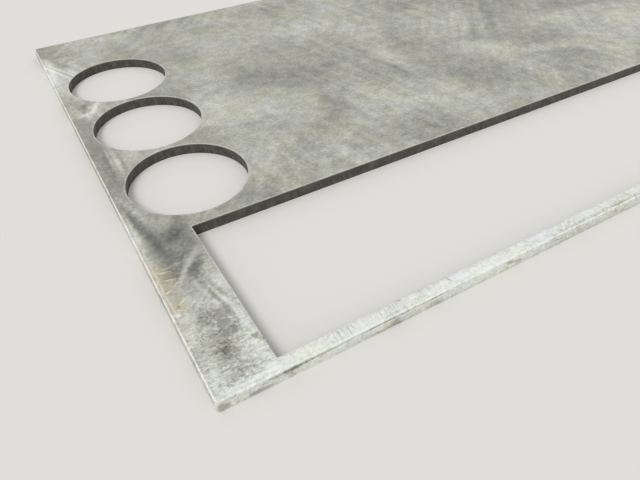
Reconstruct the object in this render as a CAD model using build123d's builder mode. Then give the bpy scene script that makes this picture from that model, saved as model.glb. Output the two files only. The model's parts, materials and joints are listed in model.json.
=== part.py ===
from build123d import *
import os

# A stock steel plate, lying flat, after parts have been profile-cut out of it.
# Millimetres. The origin is the centre of the underside, +X runs along the long
# edge, +Y across the plate and +Z up. The near left corner is at -X, -Y.

# The rolled stock plate
plate_length = 2000.0
plate_width = 1000.0
plate_thickness = 18.0
corner_radius = 4.0
top_edge_radius = 2.5
under_edge_radius = 1.0

# The long window, cut parallel to the near edge
near_rail = 18.0
end_rail = 77.0
window_depth = 250.0
window_corner_radius = 1.5

# The row of round holes up the left side, as many as the width holds
hole_diameter = 180.0
left_margin = 23.0
window_to_hole = 22.0
hole_to_hole = 10.0
far_margin = 18.0

# The edge that the cutting flame leaves round at the top of each opening
cut_rim_radius = 0.6

# The scar on the window's left wall where the cut was started and closed
start_from_corner = 30.0
start_bite_radius = 1.6
start_nub_length = 3.0
start_nub_height = 1.4

near_edge = -plate_width / 2
left_edge = -plate_length / 2

window_near = near_edge + near_rail
window_left = left_edge + end_rail
window_length = plate_length - 2 * end_rail
window_far = window_near + window_depth

hole_radius = hole_diameter / 2
hole_pitch = hole_diameter + hole_to_hole
row_start = window_far + window_to_hole
row_room = plate_width / 2 - far_margin - row_start
hole_count = int((row_room + hole_to_hole) // hole_pitch)
hole_centres = [
    (left_edge + left_margin + hole_radius, row_start + hole_radius + index * hole_pitch)
    for index in range(hole_count)
]

with BuildPart() as steel_plate:
    # The stock plate, with its corners and outer edges worn round
    with BuildSketch() as stock_outline:
        Rectangle(plate_length, plate_width)
        fillet(stock_outline.vertices(), corner_radius)
    extrude(amount=plate_thickness)
    fillet(steel_plate.faces().sort_by(Axis.Z)[-1].edges(), top_edge_radius)
    fillet(steel_plate.faces().sort_by(Axis.Z)[0].edges(), under_edge_radius)

    # The openings, cut square through the plate
    with BuildSketch() as window_outline:
        with Locations((0, window_near + window_depth / 2)):
            Rectangle(window_length, window_depth)
        fillet(window_outline.vertices(), window_corner_radius)
    extrude(amount=plate_thickness, mode=Mode.SUBTRACT)
    with Locations(Plane.XY.offset(plate_thickness)):
        with Locations(hole_centres):
            Hole(hole_radius)

    # The flame rounds the top rim of every opening
    cut_face = steel_plate.faces().sort_by(Axis.Z)[-1]
    cut_rims = [edge for wire in cut_face.inner_wires() for edge in wire.edges()]
    fillet(cut_rims, cut_rim_radius)

    # The start scar: a bite into the wall, and beside it a nub left standing
    bite_y = window_near + start_from_corner
    with BuildSketch():
        with Locations((window_left, bite_y)):
            Circle(start_bite_radius)
    extrude(amount=plate_thickness, mode=Mode.SUBTRACT)
    nub_y = bite_y - start_bite_radius - start_nub_length / 2
    with BuildSketch():
        with Locations((window_left, nub_y)):
            Ellipse(start_nub_height, start_nub_length / 2)
    extrude(amount=plate_thickness - cut_rim_radius)

steel_plate.part.label = "steel_plate"

os.makedirs("parts", exist_ok=True)
export_step(steel_plate.part, "parts/steel_plate.step")

print("holes", hole_count, "mass kg", round(steel_plate.part.volume * 7.85e-6, 1))
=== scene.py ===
import json
import math

import bpy
import numpy as np
from mathutils import Matrix, Vector
from mathutils.geometry import delaunay_2d_cdt


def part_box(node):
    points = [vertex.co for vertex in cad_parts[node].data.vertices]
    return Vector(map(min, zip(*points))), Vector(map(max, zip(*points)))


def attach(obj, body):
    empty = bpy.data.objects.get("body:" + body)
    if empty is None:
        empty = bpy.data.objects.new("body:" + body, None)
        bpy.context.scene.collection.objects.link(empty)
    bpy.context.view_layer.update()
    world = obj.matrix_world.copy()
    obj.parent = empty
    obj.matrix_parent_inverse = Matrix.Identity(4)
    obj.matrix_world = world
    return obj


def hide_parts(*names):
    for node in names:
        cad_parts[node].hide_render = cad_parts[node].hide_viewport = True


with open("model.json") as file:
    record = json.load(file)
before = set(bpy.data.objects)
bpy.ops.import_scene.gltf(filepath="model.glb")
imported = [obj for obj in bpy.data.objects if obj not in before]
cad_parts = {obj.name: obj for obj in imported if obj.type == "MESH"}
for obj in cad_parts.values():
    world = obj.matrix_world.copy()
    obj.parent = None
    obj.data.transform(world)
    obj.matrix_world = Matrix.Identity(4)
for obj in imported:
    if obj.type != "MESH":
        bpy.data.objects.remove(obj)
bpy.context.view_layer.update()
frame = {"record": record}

plate_low, plate_high = (np.array(corner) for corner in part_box("steel_plate"))
near_left = plate_low[:2]

# The viewpoint. The camera stands just outside the plate's near left corner, half a metre above
# it, and looks down along the left side. Its place, turn and lens come from fitting the plate's
# edges and the rims of its holes.
eye_from_corner = (-0.0567, -0.3203)
eye_above_face = 0.4838
heading = math.radians(29.23)
dip = math.radians(41.71)
roll = math.radians(-1.72)
focal_length_px = 565.8
photo_width_px = 640

camera_data = bpy.data.cameras.new("viewpoint")
camera_data.lens = focal_length_px / photo_width_px * camera_data.sensor_width
camera_data.clip_start = 0.01
camera = bpy.data.objects.new("viewpoint", camera_data)
bpy.context.scene.collection.objects.link(camera)
eye = Vector((*(near_left + eye_from_corner), plate_high[2] + eye_above_face))
camera.matrix_world = (
    Matrix.Translation(eye)
    @ Matrix.Rotation(-heading, 4, "Z")
    @ Matrix.Rotation(math.pi / 2 - dip, 4, "X")
    @ Matrix.Rotation(roll, 4, "Z")
)
bpy.context.scene.camera = camera

# The plate: one rolled steel plate, hot-dip zinc coated and long weathered, left over after a
# long strip and a row of discs were flame-cut out of it. Its outer edges are worn round, its
# cut walls are square and bare, and its faces are flat to a few tenths of a millimetre.
near_rail = 0.018
end_rail = 0.077
window_depth = 0.250
corner_radius = 0.004
top_edge_radius = 0.0025
under_edge_radius = 0.001
window_corner_radius = 0.0015
cut_rim_radius = 0.0006
cut_foot_radius = 0.0003
scar_from_corner = 0.030
scar_bite_radius = 0.0016
scar_nub_half = 0.0015
scar_nub_height = 0.0014
wear_depth = 0.00025
wear_reach = 0.0024
longest_wear_wave = 0.12
shortest_wear_wave = 0.012
sag_depth = 0.0003
longest_sag_wave = 0.7
shortest_sag_wave = 0.15
rounding = 1e-6
thickness = plate_high[2] - plate_low[2]
holes = [mount for mount in frame["record"]["mounts"] if mount["kind"] == "bore"]
outer_low, outer_high = plate_low[:2], plate_high[:2]
window_low = outer_low + [end_rail, near_rail]
window_high = np.array([outer_high[0] - end_rail, window_low[1] + window_depth])


def walk_rectangle(low, high, radius, walk):
    """Points and outward unit vectors on a rectangle with round corners.

    The walk goes anticlockwise from the low corner: four straight runs, each followed by a
    quarter circle of the given radius, and the arc length picks the run and the angle.
    """
    side = (high - low) - 2 * radius
    quarter = math.pi / 2 * radius
    point = np.zeros((len(walk), 2))
    outward = np.zeros((len(walk), 2))
    start = 0.0
    corners = [(low[0], low[1]), (high[0], low[1]), (high[0], high[1]), (low[0], high[1])]
    for index in range(4):
        along = np.array([(1, 0), (0, 1), (-1, 0), (0, -1)][index], float)
        out = np.array([along[1], -along[0]])
        length = side[index % 2]
        here = (walk >= start) & (walk < start + length)
        first = np.array(corners[index]) + radius * along
        point[here] = first + (walk[here] - start)[:, None] * along
        outward[here] = out
        start += length
        here = (walk >= start) & (walk < start + quarter)
        angle = ((walk[here] - start) / radius)[:, None]
        centre = np.array(corners[(index + 1) % 4]) - radius * (along + out)
        outward[here] = np.cos(angle) * out + np.sin(angle) * along
        point[here] = centre + radius * outward[here]
        start += quarter
    return point, outward


def rectangle_length(low, high, radius):
    """Four straight runs and one whole circle."""
    return 2 * float(np.sum(high - low - 2 * radius)) + 2 * math.pi * radius


def walk_circle(centre, radius, walk):
    """Points and outward unit vectors on a circle, by angle = arc length over radius."""
    angle = walk / radius
    outward = np.stack([np.cos(angle), np.sin(angle)], axis=1)
    return np.array(centre) + radius * outward, outward


def waves(walk, length, longest, shortest, seed):
    """A wavy line along a closed loop, about one unit high at most.

    It is a sum of whole-number harmonics of the loop, from the longest to the shortest
    wavelength, each with a random phase and a height that falls as the square root of its
    number. The sum is scaled to a root mean square of one half, and clipped at one.
    """
    most_harmonics = 40
    chance = np.random.default_rng(seed)
    first = max(1, round(length / longest))
    last = max(2, round(length / shortest))
    number = np.unique(np.linspace(first, last, most_harmonics).round())
    phase = chance.uniform(0, 2 * math.pi, len(number))
    height = number ** -0.5
    height *= 0.5 / np.sqrt(np.sum(height ** 2) / 2)
    angle = 2 * math.pi * np.outer(walk, number) / length + phase
    return np.clip(np.sin(angle) @ height, -1, 1)


def face_sag(place):
    """How far the top face lies under its full height, between nothing and the sag's depth.

    Long waves in random directions are added up, each as high as its share of all the
    wavelengths. The sum is stretched, clipped to lie between -1 and 1, and turned so that the
    crests touch the full height.
    """
    wave_count = 24
    stretch = 2.5
    chance = np.random.default_rng(5)
    log_length = chance.uniform(np.log(shortest_sag_wave), np.log(longest_sag_wave), wave_count)
    wavelength = np.exp(log_length)
    turn = chance.uniform(0, 2 * math.pi, wave_count)
    phase = chance.uniform(0, 2 * math.pi, wave_count)
    pull = 2 * math.pi / wavelength * np.stack([np.cos(turn), np.sin(turn)])
    rise = np.sin(place @ pull + phase) @ (wavelength / wavelength.sum())
    return sag_depth * (0.5 - 0.5 * np.clip(rise * stretch, -1, 1))


def start_scar(point):
    """How far the window's left wall is bitten into, or stands proud where it is negative, at
    the place where the cut was started: a half circle, and next to it half an ellipse."""
    on_wall = np.abs(point[:, 0] - window_low[0]) < rounding
    up = point[:, 1] - window_low[1] - scar_from_corner
    bite = np.sqrt(np.maximum(scar_bite_radius ** 2 - up ** 2, 0))
    along_nub = (up + scar_bite_radius + scar_nub_half) / scar_nub_half
    nub = scar_nub_height * np.sqrt(np.maximum(1 - along_nub ** 2, 0))
    return on_wall * (bite - nub)


def graded_walk(length, walker, finest, coarsest):
    """Arc lengths along a loop, set closer where the loop is near the plate's near left corner
    and where it turns. The step is the finest one plus 0.8 % of the distance from that corner,
    capped, and on a round corner or at the start scar it is no more than 0.4 mm."""
    samples = 40000
    growth = 0.008
    turning_step = 0.0004
    dense = np.linspace(0, length, samples + 1)
    point, outward = walker(dense)
    away = np.hypot(*(point[:-1] - near_left).T)
    step = np.minimum(finest + growth * away, coarsest)
    is_turn = np.abs(np.diff(outward, axis=0)).max(axis=1) > rounding
    is_scar = np.abs(start_scar(point[:-1])) > 0
    step = np.where(is_turn | is_scar, np.minimum(step, turning_step), step)
    count = np.concatenate([[0], np.cumsum(length / samples / step)])
    whole = int(count[-1])
    wanted = np.arange(whole) * count[-1] / whole
    return np.interp(wanted, count, dense)


def arc(centre, radius, first_deg, last_deg, steps):
    """Points of a profile's round stretch, as (distance into the metal, height)."""
    angle = np.radians(np.linspace(first_deg, last_deg, steps + 1))
    return [(centre[0] + radius * math.cos(a), centre[1] + radius * math.sin(a)) for a in angle]


def edge_profile(foot, rim_band, wall_rows, face_rows):
    """Section of an edge, from the underside round to the top face, as points of (distance
    into the metal, height): rows on the underside, the foot's quarter circle, the wall, the
    rim's quarter circle and rows on the top face, which are given from the circle's end."""
    underside_rows = (0.0022, 0.0004)
    foot_steps = 3
    rim_steps = 5
    wall = np.linspace(foot, thickness - rim_band, wall_rows + 1)[1:-1]
    return np.array(
        [(foot + row, 0.0) for row in underside_rows]
        + arc((foot, foot), foot, 270, 180, foot_steps)
        + [(0.0, height) for height in wall]
        + arc((rim_band, thickness - rim_band), rim_band, 180, 90, rim_steps)
        + [(rim_band + row, thickness) for row in face_rows]
    )


def carry(point, into, profile, relief):
    """Carries a profile along a path: vertex = path point + (profile distance + relief) times
    the unit vector into the metal, at the profile's height. The array that it gives has one
    row for each point of the path and one column for each point of the profile."""
    reach = profile[None, :, 0] + relief
    spread = point[:, None, :] + reach[:, :, None] * into[:, None, :]
    height = np.broadcast_to(profile[None, :, 1], reach.shape)
    return np.concatenate([spread, height[:, :, None]], axis=2)


def loop_faces(count, rows, start, flip):
    """Quads of a closed loop: path point i and profile point j, each with its next one. They
    are wound to face outwards where the path runs anticlockwise round the plate, and are
    flipped where it runs round an opening."""
    i = np.arange(count)[:, None]
    j = np.arange(rows - 1)[None, :]
    a = start + i * rows + j
    b = start + (i + 1) % count * rows + j
    quads = np.stack([a, b, b + 1, a + 1], axis=-1).reshape(-1, 4)
    return quads[:, ::-1] if flip else quads


outer_length = rectangle_length(outer_low, outer_high, corner_radius)
window_length = rectangle_length(window_low, window_high, window_corner_radius)


def outer_walker(walk):
    return walk_rectangle(outer_low, outer_high, corner_radius, walk)


def window_walker(walk):
    return walk_rectangle(window_low, window_high, window_corner_radius, walk)


finest_step = 0.0012
coarsest_outer_step = 0.006
coarsest_window_step = 0.005
hole_steps = 319
outer_walk = graded_walk(outer_length, outer_walker, finest_step, coarsest_outer_step)
window_walk = graded_walk(window_length, window_walker, finest_step, coarsest_window_step)
loops = [
    ("outer", outer_walker, outer_length, outer_walk),
    ("window", window_walker, window_length, window_walk),
]
for hole in holes:
    hole_radius = hole["dims"]["r_mm"] / 1000
    hole_length = 2 * math.pi * hole_radius

    def hole_walker(walk, centre=hole["pos_m"][:2], radius=hole_radius):
        return walk_circle(centre, radius, walk)

    hole_walk = np.linspace(0, hole_length, hole_steps + 1)[:-1]
    loops.append(("hole", hole_walker, hole_length, hole_walk))

outer_wall_rows = 10
outer_face_rows = (0.0004, 0.0010)
cut_wall_rows = 8
cut_face_rows = (0.0004, 0.0012, 0.003)
coated_strips = 2
outer_profile = edge_profile(
    under_edge_radius, top_edge_radius, outer_wall_rows, outer_face_rows
)
cut_profile = edge_profile(cut_foot_radius, cut_rim_radius, cut_wall_rows, cut_face_rows)


def from_outer_edge(place):
    """Distance inwards from the outer edge: the least of the four sides' distances."""
    return np.minimum(place - outer_low, outer_high - place).min(axis=1)


def from_openings(place):
    """Distance from the nearest opening: from the window's rectangle, or from a circle."""
    beside = np.maximum(np.maximum(window_low - place, place - window_high), 0)
    away = np.hypot(*beside.T)
    for hole in holes:
        to_centre = np.hypot(*(place - hole["pos_m"][:2]).T)
        away = np.minimum(away, np.abs(to_centre - hole["dims"]["r_mm"] / 1000))
    return away


# Each loop's edge is made in turn. Its UV is the way along the loop, and the way across the
# edge from where the top face begins, which is below zero on the round and on the wall. The
# walls of the openings are bare steel, up to the last strips of their round.
vertices, quads, cut_rows, uv, outer_mm, cut_mm = [], [], [], [], [], []
under_rings, top_rings = [], []
start = 0
for seed, (name, walker, length, walk) in enumerate(loops):
    point, outward = walker(walk)
    is_outer = name == "outer"
    profile = outer_profile if is_outer else cut_profile
    into = -outward if is_outer else outward
    on_edge = np.clip(1 - np.abs(profile[:, 0]) / wear_reach, 0, 1)
    edge_wave = 0.5 + 0.5 * waves(walk, length, longest_wear_wave, shortest_wear_wave, seed)
    wear = wear_depth * edge_wave + start_scar(point)
    relief = wear[:, None] * on_edge[None, :]
    grid = carry(point, into, profile, relief)
    count, rows = len(walk), len(profile)
    vertices.append(grid.reshape(-1, 3))
    quads.append(loop_faces(count, rows, start, flip=not is_outer))
    step = np.hypot(*np.diff(profile, axis=0).T)
    along_profile = np.concatenate([[0], np.cumsum(step)])
    face_row = int(np.argmax(profile[:, 1] >= thickness - rounding))
    across = along_profile - along_profile[face_row]
    u, v = np.meshgrid(walk, across, indexing="ij")
    uv.append(np.stack([u.ravel(), v.ravel()], axis=1))
    place = grid[:, :, :2].reshape(-1, 2)
    from_outer = from_outer_edge(place) - top_edge_radius
    outer_mm.append(1000 * (v.ravel() if is_outer else from_outer))
    cut_mm.append(1000 * (from_openings(place) - cut_rim_radius if is_outer else v.ravel()))
    is_bare = np.arange(rows - 1) < face_row - coated_strips
    cut_rows.append(np.tile(is_bare & (not is_outer), count))
    ring = start + np.arange(count) * rows
    under_rings.append(ring)
    top_rings.append(ring + rows - 1)
    start += count * rows

# Points on the open face, so that its long waves and its distance attributes have somewhere
# to bend: a square grid, kept clear of the edges
grid_step = 0.02
margin = 0.009
grid_x, grid_y = np.meshgrid(
    np.arange(outer_low[0] + grid_step / 2, outer_high[0], grid_step),
    np.arange(outer_low[1] + grid_step / 2, outer_high[1], grid_step),
)
spots = np.stack([grid_x.ravel(), grid_y.ravel()], axis=1)
in_opening = np.all((spots > window_low) & (spots < window_high), axis=1)
for hole in holes:
    in_opening |= np.hypot(*(spots - hole["pos_m"][:2]).T) < hole["dims"]["r_mm"] / 1000
clear = np.minimum(from_outer_edge(spots), from_openings(spots)) > margin
spots = spots[clear & ~in_opening]
outer_mm.append(1000 * (from_outer_edge(spots) - top_edge_radius))
cut_mm.append(1000 * (from_openings(spots) - cut_rim_radius))
vertices.append(np.column_stack([spots, np.full(len(spots), thickness)]))
uv.append(np.zeros((len(spots), 2)))
spot_ids = start + np.arange(len(spots))
vertices = np.concatenate(vertices)
uv = np.concatenate(uv)


def flat_triangles(rings, extra, upwards):
    """Fills the flat face between the outer ring and the openings' rings with triangles.

    It is a constrained Delaunay triangulation. An opening's ring is convex, so a triangle with
    all three corners on one such ring lies in the opening and is left out. The last argument
    says which way the triangles face.
    """
    whole_hull = 0
    merge_distance = 1e-7
    ids = np.concatenate([*rings, extra])
    ring_of = np.concatenate(
        [*(np.full(len(ring), index) for index, ring in enumerate(rings)), np.zeros(len(extra))]
    )
    ends = np.cumsum([len(ring) for ring in rings])
    edges = [
        np.stack([np.arange(first, end), np.roll(np.arange(first, end), -1)], axis=1)
        for first, end in zip([0, *ends], ends)
    ]
    edges = np.concatenate(edges).tolist()
    place = [Vector(point) for point in vertices[ids, :2]]
    made = delaunay_2d_cdt(place, edges, [], whole_hull, merge_distance, True)
    source = np.array([origins[0] for origins in made[3]])
    triangles = source[np.array(made[2])]
    owners = ring_of[triangles]
    in_opening = (owners[:, 0] > 0) & np.all(owners == owners[:, :1], axis=1)
    triangles = ids[triangles[~in_opening]]
    corner = vertices[triangles][:, :, :2]
    ab, ac = corner[:, 1] - corner[:, 0], corner[:, 2] - corner[:, 0]
    wrong = (ab[:, 0] * ac[:, 1] < ab[:, 1] * ac[:, 0]) == upwards
    triangles[wrong] = triangles[wrong][:, ::-1]
    return triangles


top = flat_triangles(top_rings, spot_ids, True)
under = flat_triangles(under_rings, np.zeros(0, int), False)
vertices[:, 2] *= 1 - face_sag(vertices[:, :2]) / thickness
vertices[:, 2] += plate_low[2]

quads = np.concatenate(quads)
cut_rows = np.concatenate(cut_rows)
mesh = bpy.data.meshes.new("cut_plate")
mesh.from_pydata(vertices.tolist(), [], quads.tolist() + top.tolist() + under.tolist())
mesh.validate()
uv_map = mesh.uv_layers.new(name="edge_walk")
corner_vertex = np.zeros(len(mesh.loops), np.int32)
mesh.loops.foreach_get("vertex_index", corner_vertex)
uv_map.data.foreach_set("uv", uv[corner_vertex].astype(np.float32).ravel())
mesh.polygons.foreach_set("use_smooth", np.ones(len(mesh.polygons), bool))
for name, value in (("outer_mm", outer_mm), ("cut_mm", cut_mm)):
    attribute = mesh.attributes.new(name, "FLOAT", "POINT")
    attribute.data.foreach_set("value", np.concatenate(value).astype(np.float32))
cut_wall = np.zeros(len(mesh.polygons), np.int32)
cut_wall[: len(quads)] = cut_rows
mesh.polygons.foreach_set("material_index", cut_wall)
plate = bpy.data.objects.new("cut_plate", mesh)
bpy.context.scene.collection.objects.link(plate)
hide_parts("steel_plate")
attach(plate, "root")

# Weathered zinc. The coat has gone from bright spangle to a pale grey film of zinc carbonate in
# soft clouds. It is nearly white along the near rail, partly with a painted sheen there and painted
# light by the near left corner, and a painted shadow lies over the end rail beside the window and
# the holes. Wiping and dragging have left soft smears, and standing water, dirt and drips have left
# blots, specks and cream stains beside the corner. The rounds of the edges carry painted
# highlights.
zinc = bpy.data.materials.new("weathered_zinc")
zinc.use_nodes = True
tree = zinc.node_tree
shader = tree.nodes["Principled BSDF"]


def linear(hex_colour):
    """An sRGB hex colour as linear red, green, blue and alpha."""
    part = np.array([int(hex_colour[i : i + 2], 16) / 255 for i in (1, 3, 5)])
    part = np.where(part <= 0.04045, part / 12.92, ((part + 0.055) / 1.055) ** 2.4)
    return (*part.tolist(), 1.0)


def add(tree, kind, sockets=None, stops=None, **settings):
    """Adds one shader node, with its settings, a ramp's stops, and its sockets: a socket that is
    given another node's output is linked to it, and any other is set."""
    node = tree.nodes.new("ShaderNode" + kind)
    for name, value in settings.items():
        setattr(node, name, value)
    for name, value in (sockets or {}).items():
        if isinstance(value, bpy.types.NodeSocket):
            tree.links.new(value, node.inputs[name])
        else:
            node.inputs[name].default_value = value
    for index, (position, colour) in enumerate(stops or []):
        if 0 < index < len(stops) - 1:
            element = node.color_ramp.elements.new(position)
        else:
            element = node.color_ramp.elements[-1 if index else 0]
            element.position = position
        element.color = linear(colour)
    return node


def patch(tree, place, centre, reach, turn, soft):
    """A patch of the surface: 1 inside an ellipsoid, fading to 0 outside it.

    Place, centre and reach are in millimetres from the top face's near left corner, the turn is
    in degrees about the vertical, and the fade spans the given share of the reach to each side.
    A spherical gradient falls evenly from 1 at the centre to 0 where the fade ends.
    """
    settings = {
        "Vector": place,
        "Location": centre,
        "Rotation": (0, 0, math.radians(turn)),
        "Scale": [(1 + soft) * size for size in reach],
    }
    local = add(tree, "Mapping", settings, vector_type="TEXTURE").outputs[0]
    fall = add(tree, "TexGradient", {"Vector": local}, gradient_type="SPHERICAL").outputs["Fac"]
    fade = {"Value": fall, "From Max": 2 * soft / (1 + soft)}
    return add(tree, "MapRange", fade).outputs["Result"]


def patches(tree, place, spots, soft):
    """The union of several patches, each given by its centre, reach and turn."""
    union = 0.0
    for centre, reach, turn in spots:
        one = patch(tree, place, centre, reach, turn, soft)
        union = add(tree, "Math", {0: one, 1: union}, operation="MAXIMUM").outputs[0]
    return union


# A Mix node has sockets for numbers, vectors and colours. These hold its two colours, and the
# third is the output that gives the mixed one.
mix_under, mix_over, mix_result = 6, 7, 2


def tint(tree, share, strength, under, over):
    """Lays a hex colour over another colour: the new colour is the old one plus share times
    strength times the difference between the two."""
    amount = add(tree, "Math", {0: share, 1: strength}, operation="MULTIPLY").outputs[0]
    sockets = {0: amount, mix_under: under, mix_over: linear(over)}
    return add(tree, "Mix", sockets, data_type="RGBA").outputs[mix_result]


# Places in millimetres from the top face's near left corner, and the distances that the mesh
# carries: how far inside the outer edge's round and the openings' rounds a point lies, which is
# below zero on the round itself
object_place = add(tree, "TexCoord").outputs["Object"]
corner_mm = (*(-1000 * near_left), -1000 * plate_high[2])
mm = add(
    tree,
    "Mapping",
    {"Vector": object_place, "Location": corner_mm, "Scale": (1000, 1000, 1000)},
).outputs[0]
outer = add(tree, "Attribute", attribute_name="outer_mm").outputs["Fac"]
cut = add(tree, "Attribute", attribute_name="cut_mm").outputs["Fac"]

# The film has clouds about as wide as a hand is long, and mottling as wide as a finger. Its
# flecks and its grain are well under a millimetre, and are drawn coarser so that they show.
cloud_mm, mottle_mm, fleck_mm, grain_mm = 170, 20, 5, 1.6
cloud = add(
    tree, "TexNoise", {"Vector": mm, "Scale": 1 / cloud_mm, "Detail": 3, "Distortion": 0.6}
)
mottle = add(
    tree, "TexNoise", {"Vector": mm, "Scale": 1 / mottle_mm, "Detail": 4, "Roughness": 0.6}
)
fleck = add(
    tree, "TexNoise", {"Vector": mm, "Scale": 1 / fleck_mm, "Detail": 3, "Roughness": 0.6}
)
grain = add(
    tree, "TexNoise", {"Vector": mm, "Scale": 1 / grain_mm, "Detail": 3, "Roughness": 0.7}
)

# Marks are placed in millimetres that noise has pushed about, a lot or a little, so that their
# outlines are ragged, wobbly or only gently uneven
ragged_mm = 12
ragged_push_mm, wobbly_push_mm, gentle_push_mm = 26, 12, 4
ragged_noise = add(
    tree, "TexNoise", {"Vector": mm, "Scale": 1 / ragged_mm, "Detail": 5, "Roughness": 0.65}
)
ragged_shift = add(
    tree,
    "VectorMath",
    {0: ragged_noise.outputs["Color"], 1: (0.5, 0.5, 0.5)},
    operation="SUBTRACT",
).outputs[0]
ragged, wobbly, gentle = (
    add(tree, "VectorMath", {0: ragged_shift, 1: (push, push, 0), 2: mm}, operation="MULTIPLY_ADD")
    .outputs[0]
    for push in (ragged_push_mm, wobbly_push_mm, gentle_push_mm)
)

# Two sets of smears, each drawn out along its own direction, and kept to some places by a wide
# cloud: the direction, a smear's length and width, and how far to the right its cloud is read
smear_deep_mm = 30
smear_area_mm = 420
smears = []
for turn, long_mm, wide_mm, shift_mm in ((-77, 240, 22, 900), (52, 200, 20, 2700)):
    smear_place = add(
        tree,
        "Mapping",
        {
            "Vector": gentle,
            "Rotation": (0, 0, math.radians(turn)),
            "Scale": (long_mm, wide_mm, smear_deep_mm),
        },
        vector_type="TEXTURE",
    ).outputs[0]
    smear = add(
        tree, "TexNoise", {"Vector": smear_place, "Scale": 1, "Detail": 4, "Roughness": 0.62}
    ).outputs[0]
    shifted = add(tree, "VectorMath", {0: mm, 1: (shift_mm, 0, 0)}, operation="ADD").outputs[0]
    area = add(
        tree, "TexNoise", {"Vector": shifted, "Scale": 1 / smear_area_mm, "Detail": 2}
    ).outputs[0]
    area = add(tree, "MapRange", {"Value": area, "From Min": 0.42, "From Max": 0.68}).outputs[0]
    centred = add(tree, "Math", {0: smear, 1: 0.5}, operation="SUBTRACT").outputs[0]
    smears.append(add(tree, "Math", {0: centred, 1: area}, operation="MULTIPLY").outputs[0])

# Strokes left by a brush at the near left corner: each bristle's is a fraction of a millimetre
# wide, and is drawn 2.4 mm wide so that it shows
stroke_turn = math.radians(-6)
stroke_size_mm = (13, 2.4, 5)
stroke_place = add(
    tree,
    "Mapping",
    {"Vector": wobbly, "Rotation": (0, 0, stroke_turn), "Scale": stroke_size_mm},
    vector_type="TEXTURE",
).outputs[0]
stroke = add(tree, "TexNoise", {"Vector": stroke_place, "Scale": 1, "Detail": 3}).outputs[0]
stroke_centred = add(tree, "Math", {0: stroke, 1: 0.5}, operation="SUBTRACT").outputs[0]
stroke_area = patch(tree, wobbly, (40, 40, 0), (90, 60, 30), 0, 0.5)
brushed = add(tree, "Math", {0: stroke_centred, 1: stroke_area}, operation="MULTIPLY").outputs[0]

# The film's tone adds these layers up: each pattern, its middle value, and its share
layers = [
    (cloud.outputs[0], 0.5, 0.42),
    (mottle.outputs[0], 0.5, 0.28),
    (fleck.outputs[0], 0.5, 0.22),
    (grain.outputs[0], 0.5, 0.18),
    (brushed, 0.0, 0.55),
    (smears[0], 0.0, 0.42),
    (smears[1], 0.0, 0.32),
]
tone = 0.5
for layer, middle, share in layers:
    centred = add(tree, "Math", {0: layer, 1: middle}, operation="SUBTRACT").outputs[0]
    tone = add(tree, "Math", {0: centred, 1: share, 2: tone}, operation="MULTIPLY_ADD").outputs[0]

# More grit in the film by the near corner, and most of all along the near rail
gritty_places = [((40, 50, 0), (80, 130, 30), 0.14), ((1000, 9, 0), (1100, 16, 30), 0.40)]
for centre, reach, share in gritty_places:
    gritty = patch(tree, mm, centre, reach, 0, 0.4)
    grit = add(tree, "Math", {0: fleck.outputs[0], 1: grain.outputs[0]}, operation="ADD").outputs[0]
    grit = add(tree, "Math", {0: grit, 1: 1.0}, operation="SUBTRACT").outputs[0]
    grit = add(tree, "Math", {0: grit, 1: gritty}, operation="MULTIPLY").outputs[0]
    tone = add(tree, "Math", {0: grit, 1: share, 2: tone}, operation="MULTIPLY_ADD").outputs[0]
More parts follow.
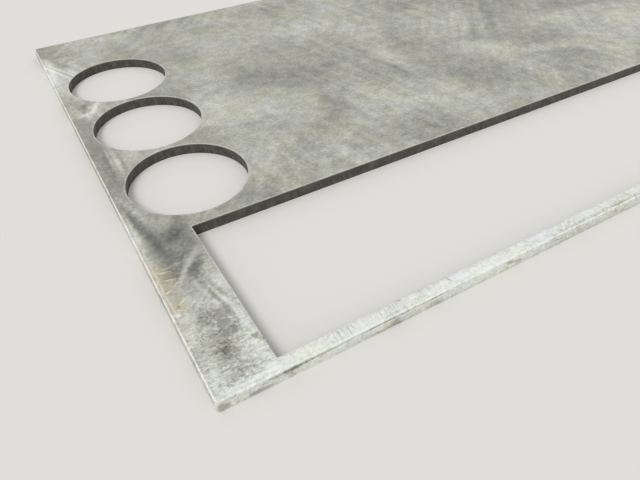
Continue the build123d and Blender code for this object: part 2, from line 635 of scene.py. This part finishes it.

# Where the top face is paler or darker as a whole: centre and reach, turn, softness and shift. Some
# are the film's own tone, and some are painted light: a painted sheen along the near rail, painted
# light by the near left corner, and painted shadow over the end rail beside the window and the
# holes. A shade reaches so deep that it goes on down the side face.
deep_mm = 30
shades_and_painted_light = [
    # Along the near rail and by the near left corner: painted sheen and light, with some of the
    # film's own tone
    ((1040, 8), (980, 13), 0, 0.25, 0.23),
    ((150, 9), (90, 14), 0, 0.4, 0.17),
    ((380, 9), (80, 14), 0, 0.5, 0.09),
    ((232, 7), (26, 6), 0, 0.5, -0.09),
    ((575, 4), (85, 3), 0, 0.5, -0.12),
    ((38, 3), (60, 6), 0, 0.35, 0.07),
    ((40, 24), (60, 26), 0, 0.5, 0.14),
    ((32, 17), (20, 8), 0, 0.5, -0.06),
    ((36, 40), (13, 13), 0, 0.6, -0.09),
    ((70, 45), (8, 48), 0, 0.6, 0.10),
    ((58, 62), (14, 14), 0, 0.6, 0.10),
    ((8, 84), (9, 10), 0, 0.6, 0.07),
    ((50, 62), (6, 6), 0, 0.6, 0.06),
    ((68, 102), (7, 36), 0, 0.6, 0.08),
    ((40, 107), (24, 10), 0, 0.5, -0.10),
    ((41, 160), (9, 10), 0, 0.6, -0.07),
    ((45, 130), (60, 60), 0, 0.5, 0.07),
    ((12, 62), (11, 60), 0, 0.6, 0.08),
    ((57, 42), (15, 13), 0, 0.7, 0.10),
    ((40, 28), (8, 8), 0, 0.6, -0.06),
    ((36, 57), (12, 17), 0, 0.6, -0.06),
    ((49, 189), (22, 8.5), 51, 0.4, -0.14),
    ((55, 188), (8, 12), 10, 0.6, -0.07),
    ((24, 194), (9, 17), 0, 0.5, -0.14),
    ((22, 240), (10, 38), 0, 0.6, -0.09),
    ((34, 222), (9, 14), 0, 0.6, -0.07),
    ((52, 264), (20, 12), 0, 0.6, -0.05),
    ((44, 242), (24, 36), 0, 0.5, -0.10),
    ((43, 223), (9, 9), 0, 0.6, -0.06),
    ((16, 182), (14, 44), 0, 0.6, -0.05),
    ((44, 268), (16, 22), 0, 0.6, -0.06),
    ((67, 156), (9, 40), 0, 0.7, 0.04),
    ((64, 258), (12, 38), 0, 0.6, -0.07),
    ((4, 300), (6, 62), 0, 0.5, 0.12),
    ((15, 430), (12, 18), 0, 0.5, -0.07),
    ((14, 470), (9, 60), 0, 0.6, -0.05),
    ((30, 440), (50, 130), 0, 0.5, -0.02),
    ((52, 474), (18, 26), 0, 0.6, 0.06),
    ((55, 490), (12, 16), 0, 0.6, 0.06),
    ((15, 560), (12, 62), 0, 0.5, -0.09),
    ((12, 632), (12, 22), 0, 0.6, -0.08),
    ((44, 656), (16, 8), 20, 0.6, 0.07),
    ((46, 484), (40, 34), 0, 0.6, -0.04),
    ((30, 690), (60, 120), 0, 0.6, 0.03),
    ((40, 680), (14, 10), 0, 0.6, -0.05),
    ((52, 678), (14, 12), 0, 0.6, 0.10),
    ((30, 860), (60, 110), -12, 0.6, 0.05),
    ((14, 852), (14, 46), -12, 0.6, 0.08),
    ((5, 878), (9, 48), 0, 0.6, 0.15),
    ((28, 886), (9, 16), 0, 0.6, -0.07),
    ((6, 815), (10, 26), 0, 0.6, 0.07),
    ((10, 908), (13, 26), 0, 0.6, 0.06),
    ((30, 12), (34, 4), 0, 0.5, -0.05),
    ((58, 119), (9, 12), 0, 0.6, 0.06),
    ((26, 140), (8, 11), 0, 0.6, 0.06),
    ((41, 201), (7, 9), 0, 0.6, -0.06),
    ((9, 222), (7, 16), 0, 0.6, 0.06),
    ((41, 97), (10, 8), 0, 0.6, -0.04),
]
for centre, reach, turn, soft, shift in shades_and_painted_light:
    one = patch(tree, wobbly, (*centre, 0), (*reach, deep_mm), turn, soft)
    tone = add(tree, "Math", {0: one, 1: shift, 2: tone}, operation="MULTIPLY_ADD").outputs[0]

# Single wipes and drag marks on the top face, by centre, reach, turn and shift, all as soft
mark_soft = 0.7
marks = [
    ((63, 143), (31, 2.8), -74.6, -0.13),
    ((56, 132), (44, 2.6), -79.9, -0.15),
    ((60, 136), (32, 2.2), -77, 0.04),
    ((46, 198), (29, 3.4), 51, 0.12),
    ((34, 209), (13, 2.2), 4, 0.09),
    ((41, 208), (18, 2.4), 62, -0.07),
    ((14, 313), (60, 6), -79.5, -0.18),
    ((22, 336), (44, 5), -72, 0.07),
    ((41, 474), (26, 2.2), 90, -0.09),
    ((33, 474), (30, 3), 90, 0.15),
    ((26, 486), (30, 2), 90, 0.11),
    ((20, 480), (40, 2.5), 88, -0.07),
    ((45, 664), (32, 3.6), 63, 0.18),
    ((24, 650), (12, 3.4), 25, 0.14),
    ((29, 646), (9, 2.4), 80, 0.12),
    ((31, 676), (26, 3), 75, -0.06),
    ((16, 858), (44, 3.2), -66, 0.13),
    ((32, 848), (36, 2.8), -64, 0.13),
    ((10, 872), (30, 2.2), -62, 0.10),
    ((46, 838), (26, 2.4), -62, 0.09),
    ((24, 852), (40, 2.4), -65, -0.09),
    ((42, 872), (44, 3), -64, -0.07),
]
for centre, reach, turn, shift in marks:
    one = patch(tree, gentle, (*centre, 0), (*reach, deep_mm), turn, mark_soft)
    tone = add(tree, "Math", {0: one, 1: shift, 2: tone}, operation="MULTIPLY_ADD").outputs[0]

# On the near side face: dark bands under the arris, partly dirt and partly painted shade under its
# round, darker blotches, a slanting row of specks, and a paler band along the foot, a painted
# highlight on a lip there, by centre, reach, softness and shift
side_shades_and_painted_light = [
    ((1000, 0, -10), (1100, 4, 13), 0.2, 0.02),
    ((120, 0, -10), (160, 4, 13), 0.3, 0.04),
    # Dark bands under the arris: dirt and painted shade under its round
    ((200, 0, -3.0), (38, 12, 0.8), 0.6, -0.33),
    ((272, 0, -3.0), (18, 12, 0.8), 0.6, -0.33),
    ((120, 0, -4.4), (50, 12, 0.9), 0.6, -0.14),
    ((1000, 0, -2.9), (1100, 12, 0.6), 0.6, -0.05),
    ((118, 0, -10), (20, 12, 8), 0.5, 0.05),
    ((80, 0, -7), (26, 12, 3), 0.6, -0.07),
    # Paler band along the foot: painted highlight on a lip there
    ((115, 0, -17), (68, 12, 1.6), 0.5, 0.08),
    # More dirt and painted shade under the arris
    ((102, 0, -3.6), (42, 12, 2.4), 0.5, -0.13),
    ((218, 0, -12.5), (10, 12, 6), 0.5, -0.22),
    ((278, 0, -13), (11, 12, 5), 0.6, -0.14),
    ((370, 0, -9), (50, 12, 10), 0.5, 0.05),
    ((560, 0, -8), (110, 12, 12), 0.5, -0.07),
    ((390, 0, -5), (6, 12, 1.8), 0.6, -0.20),
    ((398, 0, -8), (7, 12, 2), 0.6, -0.22),
    ((407, 0, -11), (6, 12, 1.8), 0.6, -0.16),
    # Dirt and painted shade under the arris, by the corner
    ((82, 0, -5.4), (22, 12, 2.4), 0.6, -0.16),
    ((8, 0, -10.5), (8, 12, 4), 0.6, -0.12),
    ((46, 0, -14.5), (11, 12, 3.6), 0.6, -0.11),
    ((206, 0, -16), (24, 12, 3), 0.6, -0.07),
]
for centre, reach, soft, shift in side_shades_and_painted_light:
    one = patch(tree, wobbly, centre, reach, 0, soft)
    tone = add(tree, "Math", {0: one, 1: shift, 2: tone}, operation="MULTIPLY_ADD").outputs[0]

film_and_painted_light = add(
    tree,
    "ValToRGB",
    {"Fac": tone},
    stops=[
        (0.20, "#666864"),
        (0.37, "#8e8f89"),
        (0.50, "#b1b2a7"),
        (0.60, "#cacbc1"),
        (0.72, "#dfe3db"),
        (0.92, "#f3f6f1"),
    ],
).outputs["Color"]

# The film's hue drifts a little between a cool and a warm grey
drift_mm = 70
drift = add(tree, "TexNoise", {"Vector": mm, "Scale": 1 / drift_mm, "Detail": 2}).outputs[0]
drift_tint = add(tree, "ValToRGB", {"Fac": drift}, stops=[(0.36, "#fafaff"), (0.64, "#fffef9")])
film_and_painted_light = add(
    tree,
    "Mix",
    {0: 1.0, mix_under: film_and_painted_light, mix_over: drift_tint.outputs["Color"]},
    data_type="RGBA",
    blend_type="MULTIPLY",
).outputs[mix_result]

# The strip beside the holes is a little browner than the rest
browner_strip = patch(tree, wobbly, (13, 520, 0), (20, 130, 30), 0, 0.5)
film_and_painted_light = tint(tree, browner_strip, 0.3, film_and_painted_light, "#9a938a")

# Crisp white and grey flakes of the film by the near left corner: where the noise goes over, or
# under, a narrow range, and the strength and colour of each
flake_mm = 7
flake = add(
    tree, "TexNoise", {"Vector": mm, "Scale": 1 / flake_mm, "Detail": 5, "Roughness": 0.62}
).outputs[0]
flake_area = patch(tree, wobbly, (46, 66, 0), (40, 62, 30), 0, 0.5)
flakes = [(0.57, 0.61, 0.55, "#e3e6de"), (0.42, 0.38, 0.42, "#93948c")]
for low, high, strength, over in flakes:
    crisp = add(tree, "MapRange", {"Value": flake, "From Min": low, "From Max": high}).outputs[0]
    share = add(tree, "Math", {0: crisp, 1: flake_area}, operation="MULTIPLY").outputs[0]
    film_and_painted_light = tint(tree, share, strength, film_and_painted_light, over)

# Blots where drops stood on the coat: crisp and grey, and two softer bluish ones. Each spot
# in these lists has its centre, its reach and its turn.
blot_spots = [
    ((49, 91, 0), (7.5, 8.5, 9), 0),
    ((54, 75, 0), (5, 6, 9), 0),
    ((71, 57, 0), (3, 4.5, 9), 0),
    ((44, 76, 0), (4, 5, 9), 0),
]
colour = tint(tree, patches(tree, ragged, blot_spots, 0.14), 0.8, film_and_painted_light, "#929590")
bluish_spots = [((32, 84, 0), (5, 7, 9), 0), ((9, 60, 0), (4, 9, 9), 0)]
colour = tint(tree, patches(tree, ragged, bluish_spots, 0.4), 0.5, colour, "#b4bab8")

# Brown-grey specks, thick in a stain beside the corner and round the blots. They show where
# the noise stands over a level that falls towards the middle of each spot. A real speck is
# about half a millimetre across, and is drawn coarser so that it shows.
speck_mm = 3.4
speck_noise = add(
    tree, "TexNoise", {"Vector": mm, "Scale": 1 / speck_mm, "Detail": 4, "Roughness": 0.75}
).outputs[0]
speck_spots = [
    ((35, 56, 0), (15, 19, 9), 0),
    ((38, 109, 0), (24, 5, 9), 0),
    ((60, 84, 0), (5, 6, 9), 0),
    ((66, 56, 0), (3, 4, 9), 0),
    ((17, 82, 0), (8, 14, 9), 0),
    ((55, 78, 0), (7, 6, 9), 0),
    ((36, 82, 0), (14, 7, 9), 0),
]
speck_field = patches(tree, ragged, speck_spots, 0.7)
speck_level = add(tree, "MapRange", {"Value": speck_field, "To Min": 0.80, "To Max": 0.47})
speck_depth = add(
    tree, "Math", {0: speck_noise, 1: speck_level.outputs["Result"]}, operation="SUBTRACT"
).outputs[0]
speck = add(tree, "MapRange", {"Value": speck_depth, "From Max": 0.1}).outputs["Result"]
colour = tint(tree, speck, 0.75, colour, "#54514a")
colour = tint(tree, speck_field, 0.16, colour, "#8d887a")

# Dried cream stains beside the left edge, with a brown blotch in the larger one, and crossed
# by paler lines
stain_spots = [((13, 190, 0), (11, 31, 9), 0), ((16, 140, 0), (10, 13, 9), 0)]
stain = patches(tree, ragged, stain_spots, 0.4)
mottled = add(
    tree, "MapRange", {"Value": fleck.outputs[0], "From Min": 0.42, "From Max": 0.58, "To Min": 0.4}
)
stain = add(tree, "Math", {0: stain, 1: mottled.outputs["Result"]}, operation="MULTIPLY").outputs[0]
colour = tint(tree, stain, 0.72, colour, "#c4ba9e")
streak_spots = [
    ((17, 186, 0), (8, 1.3, 9), -16),
    ((14, 203, 0), (8, 1.1, 9), -8),
    ((20, 145, 0), (6, 1.2, 9), 40),
    ((24, 176, 0), (5, 0.9, 9), 20),
    ((9, 168, 0), (6, 0.9, 9), 4),
    ((5, 172, 0), (2.4, 46, 9), 0),
    ((12, 134, 0), (5, 0.9, 9), -30),
]
blotch_spots = [((16, 194, 0), (5, 6, 9), 0)]
colour = tint(tree, patches(tree, ragged, blotch_spots, 0.5), 0.5, colour, "#8f8775")
colour = tint(tree, patches(tree, wobbly, streak_spots, 0.6), 0.7, colour, "#ebe2cc")

# Short dark scratches, most of them across the near rail, a small bright fleck by the left edge and
# a bright scratch by the corner
scratch_spots = [
    ((23, 171, 0), (2.2, 0.5, 9), 20),
    ((11, 187, 0), (2.6, 0.6, 9), -10),
    ((13, 140, 0), (2.4, 0.6, 9), -30),
    ((24, 31, 0), (7, 0.6, 9), 0),
    ((9, 41, 0), (2, 1.5, 9), 0),
    ((63, 96, 0), (3, 1.0, 9), 50),
    ((149, 10, 0), (8, 0.4, 5), 87),
    ((154, 12, 0), (6, 0.3, 5), 92),
    ((161, 9, 0), (8, 0.5, 5), 88),
    ((143, 11, 0), (8, 0.3, 5), 86),
    ((167, 12, 0), (5, 0.3, 5), 88),
    ((203, 10, 0), (7, 0.4, 5), 84),
    ((210, 11, 0), (7, 0.4, 5), 81),
    ((222, 12, 0), (6, 0.4, 5), 78),
    ((262, 10, 0), (5, 0.3, 5), 85),
    ((303, 12, 0), (6, 0.6, 5), -66),
    ((618, 12, 0), (5, 0.8, 5), -58),
    ((11, 186, 0), (1.6, 1.2, 9), 0),
    ((24, 174, 0), (1.6, 1.0, 9), 0),
    ((14, 139, 0), (1.4, 1.4, 9), 0),
]
colour = tint(tree, patches(tree, gentle, scratch_spots, 0.5), 0.6, colour, "#77736a")
bright_fleck_spots = [((6.4, 126, 0), (2.2, 2.8, 9), 0), ((27, 34, 0), (6, 0.8, 9), 0)]
colour = tint(tree, patches(tree, ragged, bright_fleck_spots, 0.9), 0.9, colour, "#eef5f4")

# Dirt on the near side face: brown-grey by the foot, and a touch of rust further along
dirt_spots = [((49, 0, -14.5), (13, 12, 4), 0), ((7, 0, -11), (7, 3, 7), 0)]
colour = tint(tree, patches(tree, wobbly, dirt_spots, 0.3), 0.4, colour, "#8f8b7e")
rust_spots = [((200, 0, -16.5), (17, 12, 3.4), 0)]
colour = tint(tree, patches(tree, wobbly, rust_spots, 0.6), 0.4, colour, "#b79b78")

# A broken line of dirt lies just inside the outer edge, except along the near side
dash_mm = 9
dirt_line_mm = 1.6
dash_noise = add(
    tree, "TexNoise", {"Vector": mm, "Scale": 1 / dash_mm, "Detail": 4, "Roughness": 0.7}
)
dash = add(tree, "MapRange", {"Value": dash_noise.outputs[0], "From Min": 0.45, "From Max": 0.62})
near_arris = patch(tree, mm, (1000, 0, 0), (1200, 4, 6), 0, 0.3)
line_gap = add(tree, "Math", {0: outer, 1: dirt_line_mm}, operation="SUBTRACT").outputs[0]
line_far = add(tree, "Math", {0: line_gap}, operation="ABSOLUTE").outputs[0]
line = add(tree, "MapRange", {"Value": line_far, "From Min": 0.9, "From Max": 0.3})
line_share = add(
    tree, "Math", {0: line.outputs["Result"], 1: dash.outputs["Result"]}, operation="MULTIPLY"
).outputs[0]
clean_arris = patch(tree, mm, (1000, 0, 0), (1200, 9, 12), 0, 0.2)
line_share = add(
    tree, "MapRange", {"Value": clean_arris, "To Min": line_share, "To Max": 0.0}
).outputs["Result"]
colour = tint(tree, line_share, 0.6, colour, "#76736a")

# The rounds of the edges are pale, patchily, partly rubbed and partly a painted highlight where a
# round catches the light: the outer ones except along the near side, the openings' smaller rounds,
# and a narrow strip of the face beside each opening. The near side has one narrow painted highlight
# line on its round instead.
cut_round_scale = 2.5
cut_round = add(tree, "Math", {0: cut, 1: cut_round_scale}, operation="MULTIPLY").outputs[0]
nearest = add(tree, "Math", {0: outer, 1: cut_round}, operation="MINIMUM").outputs[0]
pale_round = add(tree, "MapRange", {"Value": nearest, "From Min": -0.3, "From Max": -1.1})
not_wall = add(tree, "MapRange", {"Value": outer, "From Min": -3.4, "From Max": -1.8})
rubbed_and_highlit = add(
    tree,
    "Math",
    {0: pale_round.outputs["Result"], 1: not_wall.outputs["Result"]},
    operation="MULTIPLY",
).outputs[0]
round_patchiness = add(tree, "MapRange", {"Value": near_arris, "To Min": 1.0, "To Max": 0.0}).outputs["Result"]
patchy_mottle = add(tree, "MapRange", {"Value": mottle.outputs[0], "From Min": 0.2, "From Max": 0.5})
round_patchiness = add(
    tree, "Math", {0: round_patchiness, 1: patchy_mottle.outputs["Result"]}, operation="MULTIPLY"
).outputs[0]
rubbed_and_highlit = add(tree, "Math", {0: rubbed_and_highlit, 1: round_patchiness}, operation="MULTIPLY").outputs[0]
# Pale rounds: rubbed coat, and a painted highlight where they catch the light
colour = tint(tree, rubbed_and_highlit, 0.9, colour, "#f4f3ea")
# A pale band on the face beside each opening: partly rubbed coat, partly a painted highlight on the
# rim
rim_band = add(tree, "MapRange", {"Value": cut, "From Min": 2.2, "From Max": 0.0}).outputs["Result"]
rim_band = add(tree, "Math", {0: rim_band, 1: patchy_mottle.outputs["Result"]}, operation="MULTIPLY").outputs[0]
colour = tint(tree, rim_band, 0.45, colour, "#dfe0d8")
# Painted highlight: one thin bright line along the near side's round
arris_highlight = patch(tree, mm, (1000, 0.6, 0), (1100, 1.3, 1.0), 0, 0.4)
arris_highlight = add(
    tree, "Math", {0: arris_highlight, 1: patchy_mottle.outputs["Result"]}, operation="MULTIPLY"
).outputs[0]
colour = tint(tree, arris_highlight, 0.8, colour, "#f8faf6")

# The paler the film, the thicker it is, and so the rougher and the less metallic
rough = add(
    tree,
    "MapRange",
    {"Value": tone, "From Min": 0.3, "From Max": 0.7, "To Min": 0.42, "To Max": 0.6},
)
metal = add(
    tree,
    "MapRange",
    {"Value": tone, "From Min": 0.3, "From Max": 0.7, "To Min": 0.5, "To Max": 0.15},
)
bump = add(
    tree, "Bump", {"Height": grain.outputs[0], "Strength": 0.2, "Distance": 0.0003}
).outputs[0]
tree.links.new(colour, shader.inputs["Base Color"])
tree.links.new(rough.outputs["Result"], shader.inputs["Roughness"])
tree.links.new(metal.outputs["Result"], shader.inputs["Metallic"])
tree.links.new(bump, shader.inputs["Normal"])
mesh.materials.append(zinc)

# Flame-cut steel. The walls of the openings are bare: a dark scale with the flame's drag lines
# running down it, bent back a little towards the foot, and a paler band at the rim, partly cleaner
# metal and partly a painted highlight.
cut_steel = bpy.data.materials.new("flame_cut_steel")
cut_steel.use_nodes = True
tree = cut_steel.node_tree
shader = tree.nodes["Principled BSDF"]

# The drag lines stand a little over a millimetre apart, as a flame leaves them in plate this
# thick, and they bend back by the square of their depth in millimetres times the bend
drag_mm, drag_long_mm = 1.3, 30
drag_bend = 0.008
scale_mm = 12
walk = add(tree, "UVMap", uv_map="edge_walk").outputs[0]
walk_mm = add(tree, "VectorMath", {0: walk, "Scale": 1000}, operation="SCALE").outputs[0]
split = add(tree, "SeparateXYZ", {0: walk_mm})
down = split.outputs["Y"]
lag = add(tree, "Math", {0: down, 1: down}, operation="MULTIPLY").outputs[0]
bent = add(
    tree, "Math", {0: lag, 1: drag_bend, 2: split.outputs["X"]}, operation="MULTIPLY_ADD"
).outputs[0]
drag_place = add(tree, "CombineXYZ", {"X": bent, "Y": down}).outputs[0]
drag_scaled = add(
    tree,
    "VectorMath",
    {0: drag_place, 1: (1 / drag_mm, 1 / drag_long_mm, 1)},
    operation="MULTIPLY",
)
drag = add(tree, "TexNoise", {"Vector": drag_scaled.outputs[0], "Scale": 1, "Detail": 3}).outputs[0]
scale_noise = add(
    tree, "TexNoise", {"Vector": walk_mm, "Scale": 1 / scale_mm, "Detail": 5, "Roughness": 0.6}
).outputs[0]
shade = add(tree, "Math", {0: drag, 1: 0.5}, operation="MULTIPLY").outputs[0]
shade = add(tree, "Math", {0: scale_noise, 1: 0.5, 2: shade}, operation="MULTIPLY_ADD").outputs[0]
scale = add(
    tree,
    "ValToRGB",
    {"Fac": shade},
    stops=[(0.36, "#42413c"), (0.5, "#54534d"), (0.64, "#6b6962")],
).outputs["Color"]
# The pale band at the rim: partly cleaner metal, partly a painted highlight
rim_band = add(tree, "MapRange", {"Value": down, "From Min": -2.2, "From Max": -0.6}).outputs["Result"]
rim_share = add(tree, "Math", {0: rim_band, 1: 0.75}, operation="MULTIPLY").outputs[0]
colour = add(
    tree,
    "Mix",
    {0: rim_share, mix_under: scale, mix_over: linear("#c9c8bf")},
    data_type="RGBA",
).outputs[mix_result]
bump = add(tree, "Bump", {"Height": drag, "Strength": 0.5, "Distance": 0.0004}).outputs[0]
tree.links.new(colour, shader.inputs["Base Color"])
tree.links.new(bump, shader.inputs["Normal"])
shader.inputs["Metallic"].default_value = 0.6
shader.inputs["Roughness"].default_value = 0.55
mesh.materials.append(cut_steel)

# The floor: one wide, level, matt surface in a pale warm grey. The plate lies flat on it, held
# by nothing but its own weight.
floor_reach = 40.0
floor_colour = "#e0deda"
around = ((-1, -1), (1, -1), (1, 1), (-1, 1))
floor_corners = [(x * floor_reach, y * floor_reach, 0) for x, y in around]
floor_mesh = bpy.data.meshes.new("floor")
floor_mesh.from_pydata(floor_corners, [], [(0, 1, 2, 3)])
floor = bpy.data.objects.new("floor", floor_mesh)
bpy.context.scene.collection.objects.link(floor)
floor_material = bpy.data.materials.new("pale_floor")
floor_material.use_nodes = True
floor_shader = floor_material.node_tree.nodes["Principled BSDF"]
floor_shader.inputs["Base Color"].default_value = linear(floor_colour)
floor_shader.inputs["Roughness"].default_value = 0.9
floor_mesh.materials.append(floor_material)

# The light: an even pale surround, and one broad soft lamp from the front and the left. Seen
# directly or in a reflection, the surround has the floor's own pale tone.
surround_strength = 0.73
lamp_strength = 1.35
lamp_spread = math.radians(24)
lamp_aim = Vector((0.62, 0.42, -0.85))
world = bpy.data.worlds.new("studio")
bpy.context.scene.world = world
world.use_nodes = True
tree = world.node_tree
surround = tree.nodes["Background"]
surround.inputs["Color"].default_value = linear("#f6f7f8")
surround.inputs["Strength"].default_value = surround_strength
backdrop = add(tree, "Background", {"Color": linear(floor_colour), "Strength": 1.0})
ray = add(tree, "LightPath")
seen = add(
    tree,
    "Math",
    {0: ray.outputs["Is Camera Ray"], 1: ray.outputs["Is Transmission Ray"]},
    operation="MAXIMUM",
).outputs[0]
seen = add(tree, "Math", {0: seen, 1: ray.outputs["Is Glossy Ray"]}, operation="MAXIMUM").outputs[0]
both = add(tree, "MixShader", {0: seen, 1: surround.outputs[0], 2: backdrop.outputs[0]})
tree.links.new(both.outputs[0], tree.nodes["World Output"].inputs["Surface"])

lamp_data = bpy.data.lights.new("soft_lamp", "SUN")
lamp_data.energy = lamp_strength
lamp_data.angle = lamp_spread
lamp = bpy.data.objects.new("soft_lamp", lamp_data)
bpy.context.scene.collection.objects.link(lamp)
lamp.rotation_euler = lamp_aim.to_track_quat("-Z", "Y").to_euler()

bpy.context.scene.view_settings.view_transform = "Standard"
